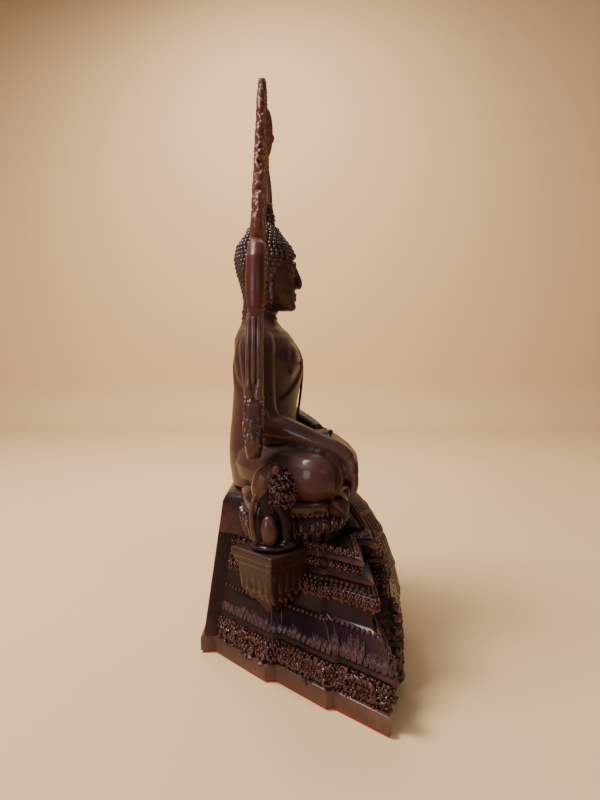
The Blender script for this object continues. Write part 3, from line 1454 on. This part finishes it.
def upper_leaves():
    """The column of leaves, with small uneven lumps over their rounded outsides."""
    made = []
    for n in range(LEAVES):
        share = FIRST_LEAF + (1 - FIRST_LEAF) * (n + 0.15) / LEAVES
        made += flame_leaf(share, leaf_size(share) * random.uniform(0.9, 1.08))
    for _ in range(LUMPS):
        share = random.uniform(FIRST_LEAF + 0.02, 0.93)
        size = leaf_size(share)
        place, up = limb_place(share, 0.3)
        aside = random.uniform(-2.5, 2.5)
        reach = (LUMPS_OUT + math.sqrt(LEAF_ROUND**2 - aside**2)) * size
        spot = place + Vector((up.y, -up.x)) * reach
        made.append(ball(spot.x, ARCH_Y + aside * size, spot.y, 0.9, 0.9, random.uniform(0.9, 2), 8, 5))
    return made


def thin_toward_tip(o):
    for corner in o.data.vertices:
        above = max(0, corner.co.z / MM - TAPER_FROM) / (ARCH_TOP - TAPER_FROM)
        corner.co.y = ARCH_Y * MM + (corner.co.y - ARCH_Y * MM) * (1 - TAPER * above)
    return o


def front_beads(reach, radius, pitch, start, stop):
    places = []
    amount = round(LIMB_LENGTH * (stop - start) / pitch)
    for n in range(amount):
        place, _ = limb_place(start + (stop - start) * (n + 0.5) / amount, reach)
        if place.x > 0.8:
            places += [at(place.x, y, place.y) for y in (ARCH_FRONT, ARCH_BACK)]
    return copies(bead(radius), places)


def limbs():
    skin_form = join(limb_core(), *upper_leaves())
    skin_form = cast(thin_toward_tip(skin_form), grain=0.6, rub=3)
    trim = [limb_line(-0.92, ARCH_FRONT - 0.1, 0.75), limb_line(-0.5, ARCH_FRONT, 0.6)]
    trim += [limb_line(-0.92, ARCH_BACK, 0.7), limb_line(-0.5, ARCH_BACK, 0.55)]
    trim.append(front_beads(-0.16, 0.95, 2.3, FIRST_LEAF, 0.97))
    trim = smooth_edges(thin_toward_tip(join(*trim)), 70)
    return mirror(join(skin_form, trim))


finish_piece(limbs(), "arch_limbs", flame, "aureole")

# %% Lobes and fluted lower limbs
# x, z, half width across the arch and half thickness, from the pointed foot to the rounded head
LOBE = [
    (57, 169, 1, 1), (59.4, 172, 2.6, 2.6), (60, 177, 4, 4), (58.8, 184, 5.4, 4.7), (57.2, 192, 6.2, 4.9),
    (54.6, 200, 7, 4.9), (50.6, 205.8, 6.4, 4.7), (47, 208.4, 3.6, 3.4), (45.6, 209.4, 1.2, 1.2),
]  # fmt: skip
LOBE_Y = ARCH_Y - 0.4


def lobe():
    """A rounded, swelling leaf beside the head, smooth outside, with small curls down its front."""
    parts = []
    for step in range(6 * (len(LOBE) - 1)):
        x, z, wide, thick = between_rows(LOBE, step / 6)
        parts.append(ball(x, LOBE_Y, z, wide, thick, 2.6 + wide * 0.25, segments=24))
    body = cast(join(*parts), grain=0.5, rub=10)
    curls_on_front = []
    for n in range(17):
        x, z, wide, thick = between_rows(LOBE, 1 + n * 6.4 / 16)
        for side, size in ((-0.62, 0.8), (-0.1, 1.1), (0.45, 0.85)):
            y = LOBE_Y - thick * math.sqrt(1 - side * side) + 0.2
            curls_on_front.append(at(x + side * wide, y, z - side * 1.4, 0, 0, size))
    curls_on_front = copies(small_ball(0, 0, 0, 1), curls_on_front)
    return join(body, smooth_edges(curls_on_front, 70))


def lower_limb():
    """Flutes down the outside, a pale rim at the front and a pointed sheath at the foot."""
    parts = []
    for y, radius, x in ((21.6, 1.25, 63.9), (24, 1.35, 64.3), (26.4, 1.25, 63.9)):
        flute = [(x, 129), (x - 0.2, 148), (x - 0.6, 164), (x - 2.4, 172)]
        parts.append(strand([(across, y, z, radius) for across, z in flute]))
    for x in (57, 60.6):
        ridge = [(x, 129, 0.9), (x, 150, 0.8), (x - 0.4, 166, 0.8), (x - 1.6, 174, 0.6)]
        for y in (ARCH_FRONT - 0.2, ARCH_BACK + 0.1):
            parts.append(strand([(across, y, z, radius) for across, z, radius in ridge], detail=2))
    y = ARCH_FRONT + 0.1
    parts.append(strand([(63.2, y, 129, 0.85), (63, y, 150, 0.8), (62.4, ARCH_FRONT, 168, 0.8)], detail=2))
    for y, tip_y in ((22, 21.4), (25.6, 26.2)):
        sheath = [(62.6, y, 128, 2.6), (64.2, y, 135, 2.5)]
        parts.append(strand([*sheath, (65, tip_y, 140, 1.7), (65.6, tip_y, 143, 0.5)]))
    return smooth_edges(join(*parts), 70)


finish_piece(mirror(lobe()), "arch_lobes", amber, "aureole")
finish_piece(mirror(lower_limb()), "arch_flutes", umber, "aureole")

# %% Beast heads at the feet of the arch
HEAD_OUTLINE = [(56.4, 134), (54, 126), (53.8, 114), (57.2, 107), (60, 106.4), (66, 106.4), (69.6, 110.4)]
HEAD_OUTLINE += [(72.6, 116), (70.4, 119.6), (71.4, 125), (68.4, 131), (65.4, 135)]
BEAST_THICK, EYE_X, EYE_Z = 6.8, 65.6, 121.4
# x, rise and radius of a wrinkle, then x, z and radius of the brow
WRINKLE = [(57, 0, 0.9), (62, 1.4, 1.1), (67, 0.4, 1.1), (71, 1, 0.7)]
BROW = [(60, 122.6, 0.8), (63, 125.6, 1.1), (67, 125.8, 1.1), (70, 123, 0.7)]


def beast_eye(y):
    """A strand wound inward, which reads as a curled eye."""
    spiral = [(math.radians(76 * n), 2.7 - 0.38 * n) for n in range(6)]
    path = [(EYE_X + r * math.cos(a), y, EYE_Z + r * math.sin(a), 0.5) for a, r in spiral]
    return strand(path, detail=2, steps=4)


def arch_beast():
    """A beast's head looking down: scaly brow, curled eye, wrinkled cheek and a smooth snout."""
    side = [(x, ARCH_Y - BEAST_THICK / 2, z) for x, z in HEAD_OUTLINE]
    head_form = plate(side, (0, BEAST_THICK, 0), soft=1.3)
    parts = [head_form, ball(62, ARCH_Y, 111.4, 6, 4.1, 5), ball(64.6, ARCH_Y, 110.6, 4.6, 3.9, 3.9)]
    for y in (ARCH_Y - 3, ARCH_Y + 3):
        parts.append(ball(EYE_X, y, EYE_Z, 2.8, 1.8, 2.8))
        for level in (112.6, 115, 117.2):
            parts.append(strand([(x, y, level + rise, radius) for x, rise, radius in WRINKLE], detail=2))
        parts.append(strand([(x, y, z, radius) for x, z, radius in BROW], detail=2))
    parts.append(strand([(69, ARCH_Y, 114, 2.6), (71.2, ARCH_Y, 116.6, 1.8), (70, ARCH_Y, 119.6, 1)]))
    scales = []
    for level in range(9):
        z = 118.4 + 2 * level
        for n in range(6):
            y = ARCH_Y - 3.6 + 1.4 * n + (0.7 if level % 2 else 0)
            if y < ARCH_Y + 3.8:
                x = 70.6 - 0.12 * (y - ARCH_Y) ** 2 - max(0, z - 124) * 0.5 + random.uniform(-0.4, 0.4)
                scales.append(at(x, y, z + random.uniform(-0.4, 0.4), 0, 0, random.uniform(0.8, 1.3)))
        for n in range(5):
            for y in (ARCH_Y - 3.7, ARCH_Y + 3.7):
                x = 56 + 2.3 * n + (1.1 if level % 2 else 0)
                if math.dist((x, z), (EYE_X, EYE_Z)) > 3:
                    scales.append(at(x, y, z, 0, 0, random.uniform(0.8, 1.2)))
    eyes = [beast_eye(y) for y in (ARCH_Y - 4.5, ARCH_Y + 4.5)]
    body = cast(join(*parts, copies(small_ball(0, 0, 0, 1.15), scales)), grain=0.45, rub=2)
    return join(body, *eyes)


finish_piece(mirror(arch_beast()), "arch_beasts", umber, "aureole")


# %% Jewel at the point of the arch
JEWEL_Z = 280


def arch_jewel():
    """Nested flames that stand out from the arch, on a long drop."""
    parts = [ball(0, ARCH_FRONT + 0.4, JEWEL_Z, 5, 3.4, 14)]
    for size, y in ((1, 0.2), (0.68, -1.4), (0.4, -2.6)):
        outline = [(0, -13), (3.4, -9), (5.4, -1), (4.4, 6), (2, 10.6), (0, 14)]
        outline += [(-across, up) for across, up in outline[-2:0:-1]]
        corners = [(across * size, ARCH_FRONT + y, JEWEL_Z + up * size) for across, up in outline]
        parts.append(plate(corners, (0, 1.8, 0), soft=0.5))
    parts.append(ball(0, ARCH_FRONT - 2.6, JEWEL_Z - 3, 1.8, 1.2, 2.6, 14, 8))
    for side in (-1, 1):
        for up, reach in ((-9, 3.6), (-4.6, 5), (0, 5.6), (4.6, 5), (9, 3)):
            parts.append(small_ball(side * reach, ARCH_FRONT - 0.2, JEWEL_Z + up, 1.2))
    return smooth_edges(join(*parts), 50)


finish_piece(arch_jewel(), "arch_jewel", flame, "aureole")

# %% [markdown]
# ## Felt
# The CAD's felt has the right outline already, so it keeps its own mesh and gets a soft red finish.

# %% Red felt
felt = Finish("red felt")
fibres = felt.ramp(felt.noise(1800, 4), [(0.3, 0), (0.75, 1)])
pile = felt.node("ShaderNodeBump", {}, {"Strength": 0.5, "Distance": 0.0003, "Height": fibres})
felt_red = felt.surface(
    Base_Color=felt.mix(fibres, colour(122, 18, 22), colour(176, 34, 36)),
    Roughness=0.95,
    Normal=pile,
    Sheen_Weight=0.4,
)
felt_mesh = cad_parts["base_felt"].data
felt_mesh.materials.clear()
felt_mesh.materials.append(felt_red)

# %% [markdown]
# ## Camera, floor and light
# The photograph looks at the statue's right side from about the height of its chest. Its upright lines
# stay upright, so the camera is level and its frame is shifted down a little instead of being tilted.

# %% Camera at the photograph's place
# height of the photograph, focal length and row of the horizon, in its pixels
PHOTO_HEIGHT, FOCAL_PIXELS, HORIZON_ROW = 800, 620, 360
CAMERA_PLACE = Vector((-350, 2.45, 152)) * MM

lens = bpy.data.cameras.new("photo camera")
lens.sensor_width = 36
lens.lens = lens.sensor_width * FOCAL_PIXELS / PHOTO_HEIGHT
lens.shift_y = (HORIZON_ROW - PHOTO_HEIGHT / 2) / PHOTO_HEIGHT
lens.clip_start = 0.01
camera = bpy.data.objects.new("photo camera", lens)
camera.location = CAMERA_PLACE
camera.rotation_euler = (math.radians(90), 0, math.radians(-90))
bpy.context.scene.collection.objects.link(camera)
bpy.context.scene.camera = camera
print("lens in mm:", round(lens.lens, 2), "shift:", round(lens.shift_y, 4))


# %% Pale floor with a soft rise behind
# in metres
FLOOR_X, FLOOR_LENGTH, FLOOR_WIDTH, WALL = -0.6, 3.2, 5, 0.9
RISE_STEPS, RISE_RADIUS = 8, 0.1


def backdrop():
    clear()
    bpy.ops.mesh.primitive_plane_add(size=1, location=(FLOOR_X, 0, 0))
    bpy.ops.transform.resize(value=(FLOOR_LENGTH, FLOOR_WIDTH, 1), center_override=(FLOOR_X, 0, 0))
    floor = settle(bpy.context.object)
    floor.name = "floor"
    bpy.ops.object.mode_set(mode="EDIT")
    select_edges(floor, lambda co: co.x > 0)
    turn = math.radians(90 / RISE_STEPS)
    reach = RISE_RADIUS * math.sin(turn)
    for step in range(1, RISE_STEPS + 1):
        extrude_edges((reach * math.cos(step * turn), 0, reach * math.sin(step * turn)))
    extrude_edges((0, 0, WALL))
    bpy.ops.object.mode_set(mode="OBJECT")
    bpy.ops.object.shade_smooth()
    return floor


floor = backdrop()
paper = Finish("pale backdrop").surface(Base_Color=colour(232, 194, 144), Roughness=0.75)
floor.data.materials.append(paper)


# %% Soft light
def soft_light(name, place, aim, size, watts, tint=(1, 0.95, 0.88)):
    light = bpy.data.lights.new(name, "AREA")
    light.shape = "DISK"
    light.size, light.energy, light.color = size, watts, tint
    lamp = bpy.data.objects.new(name, light)
    lamp.location = place
    lamp.rotation_euler = (Vector(aim) - Vector(place)).to_track_quat("-Z", "Y").to_euler()
    bpy.context.scene.collection.objects.link(lamp)


soft_light("ceiling", (-0.1, 0.42, 0.94), (0, 0, 0.12), 0.32, 12.5, tint=(1, 0.94, 0.85))
soft_light("window", (-0.8, 0.6, 0.4), (0, 0, 0.1), 0.4, 4, tint=(0.97, 0.93, 0.98))
soft_light("fill", (-0.5, -0.3, 0.35), (0, -0.04, 0.04), 0.3, 0.42, tint=(1, 0.92, 0.84))
soft_light("back", (0.55, 0.1, 0.8), (0.9, 0, 0.2), 0.8, 7, tint=(1, 0.93, 0.82))
world = bpy.data.worlds.new("soft room")
world.use_nodes = True
background = world.node_tree.nodes["Background"]
background.inputs["Color"].default_value = (0.86, 0.88, 1, 1)
background.inputs["Strength"].default_value = 0.15
bpy.context.scene.world = world
